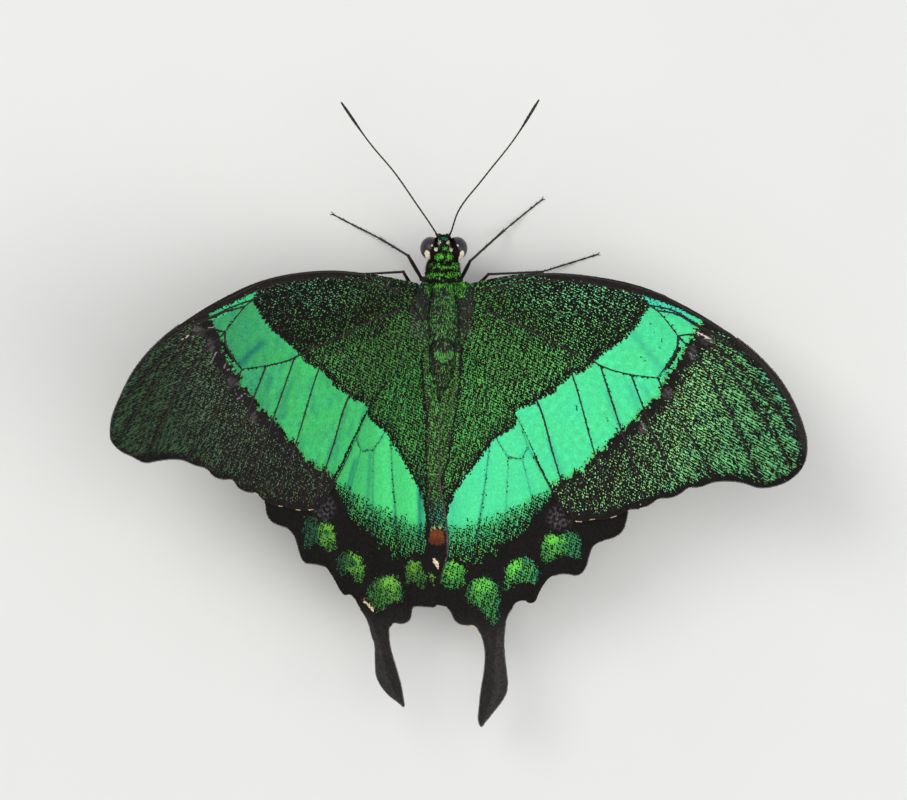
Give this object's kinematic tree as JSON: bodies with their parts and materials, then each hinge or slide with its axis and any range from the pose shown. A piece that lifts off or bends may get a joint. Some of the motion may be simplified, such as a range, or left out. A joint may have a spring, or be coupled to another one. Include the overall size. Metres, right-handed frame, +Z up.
{
  "type": "swallowtail butterfly",
  "caption": "Life-size still model of an emerald swallowtail butterfly standing on its feet with both pairs of tailed wings spread, feelers forward.",
  "frame": {"origin": "on the floor under the centre of the model's bounding box", "axes": "+Y forward towards the head, +X to the insect's right, +Z up; the six feet stand on z = 0"},
  "size_m": [0.0908, 0.0814, 0.0277],
  "materials": {
    "body_coat": "black scales and hair with green flecks",
    "wing": "black scales, with dusted green and a bright green band",
    "eye": "dark, finely faceted gloss",
    "bare_shell": "dark brown shell, satin"
  },
  "bodies": {
    "root": {"head": "body_coat", "prothorax": "body_coat", "thorax": "body_coat", "abdomen": "body_coat", "proboscis": "bare_shell", "eye_right": "eye", "palp_right": "body_coat", "antenna_right": "bare_shell", "tegula_right": "body_coat", "forewing_right": "wing", "hindwing_right": "wing", "leg_fore_right": "bare_shell", "leg_mid_right": "bare_shell", "leg_hind_right": "bare_shell", "eye_left": "eye", "palp_left": "body_coat", "antenna_left": "bare_shell", "tegula_left": "body_coat", "forewing_left": "wing", "hindwing_left": "wing", "leg_fore_left": "bare_shell", "leg_mid_left": "bare_shell", "leg_hind_left": "bare_shell"}
  },
  "joints": []
}
